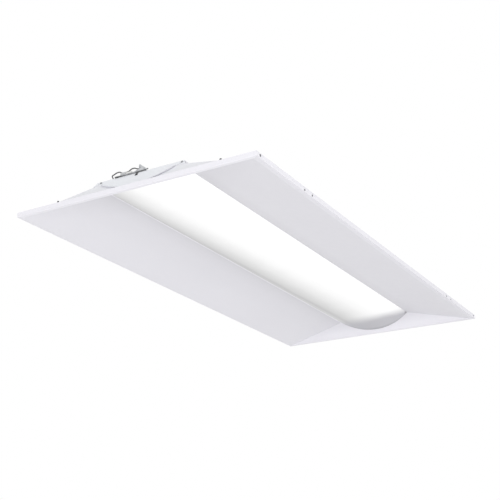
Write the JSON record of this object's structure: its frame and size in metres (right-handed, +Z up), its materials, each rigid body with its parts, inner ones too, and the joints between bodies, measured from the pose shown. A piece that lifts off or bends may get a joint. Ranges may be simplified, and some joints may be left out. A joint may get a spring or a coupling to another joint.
{
  "type": "recessed troffer light",
  "caption": "Lay-in ceiling light: folded white steel body with sloping side reflectors, steep ends, a frosted convex lens, LED boards, a driver box on top and swing-up grid clips.",
  "frame": {"origin": "middle of the bottom face of the outer rim", "axes": "+X across the short side, +Y along the long side away from the connector end, +Z up into the ceiling void"},
  "size_m": [0.6032, 1.2128, 0.0825],
  "materials": {
    "white_steel": "satin powder coat",
    "opal_lens": "frosted satin",
    "led_board_mask": "satin",
    "led_phosphor": "gloss",
    "white_nylon": "satin",
    "pale_grey_nylon": "satin",
    "galvanised_steel": "satin",
    "spring_steel": "satin",
    "zinc_screws": "satin",
    "dark_screws": "satin",
    "driver_metal": "satin",
    "driver_pcb": "satin",
    "orange_terminals": "satin",
    "black_nylon": "satin",
    "black_rubber": "matte",
    "green_screw": "satin",
    "tinned_copper": "satin",
    "black_insulation": "satin",
    "white_insulation": "satin",
    "green_insulation": "satin"
  },
  "bodies": {
    "fixture": {"access_plate_screws": "zinc_screws", "bracket_screw": "zinc_screws", "centre_channel": "white_steel", "channel_end_plate_far": "white_steel", "channel_end_plate_near": "white_steel", "channel_grommet": "black_rubber", "connector_bracket": "galvanised_steel", "corner_rivets": "dark_screws", "driver_base": "driver_metal", "driver_circuit_board": "driver_pcb", "driver_cover": "driver_metal", "driver_screws": "zinc_screws", "driver_terminals": "orange_terminals", "end_panel_far": "white_steel", "end_panel_near": "white_steel", "end_panel_rivets": "dark_screws", "end_plate_screws": "dark_screws", "ground_lug": "tinned_copper", "ground_screw": "green_screw", "led_board_left": "led_board_mask", "led_board_plugs": "white_nylon", "led_board_right": "led_board_mask", "led_board_rivets": "white_nylon", "led_packages_left": "led_phosphor", "led_packages_right": "led_phosphor", "lens": "opal_lens", "output_lead_left": "white_insulation", "output_lead_right": "white_insulation", "side_panel_left": "white_steel", "side_panel_right": "white_steel", "snap_bushing": "black_nylon", "supply_lead_ground": "green_insulation", "supply_lead_line": "black_insulation", "supply_lead_neutral": "white_insulation", "supply_plug": "white_nylon", "supply_socket": "pale_grey_nylon", "wiring_cover": "white_steel", "wiring_cover_screws": "zinc_screws"},
    "clip_near_left": {"grid_clip_near_left": "spring_steel"},
    "clip_near_right": {"grid_clip_near_right": "spring_steel"},
    "clip_far_left": {"grid_clip_far_left": "spring_steel"},
    "clip_far_right": {"grid_clip_far_right": "spring_steel"},
    "hatch": {"access_plate": "white_steel"}
  },
  "joints": [
    {"name": "clip_near_left_swing", "type": "hinge", "parent": "fixture", "child": "clip_near_left", "pos_m": [-0.2974, -0.399, 0.0051], "axis": [0, -1, 0], "range_deg": [0, 78]},
    {"name": "clip_near_right_swing", "type": "hinge", "parent": "fixture", "child": "clip_near_right", "pos_m": [0.2974, -0.399, 0.0051], "axis": [0, 1, 0], "range_deg": [0, 78]},
    {"name": "clip_far_left_swing", "type": "hinge", "parent": "fixture", "child": "clip_far_left", "pos_m": [-0.2974, 0.399, 0.0051], "axis": [0, -1, 0], "range_deg": [0, 78]},
    {"name": "clip_far_right_swing", "type": "hinge", "parent": "fixture", "child": "clip_far_right", "pos_m": [0.2974, 0.399, 0.0051], "axis": [0, 1, 0], "range_deg": [0, 78]},
    {"name": "access_plate_swing", "type": "hinge", "parent": "fixture", "child": "hatch", "pos_m": [-0.0385, -0.4965, 0.0801], "axis": [0, 0, 1], "range_deg": [0, 115]}
  ]
}
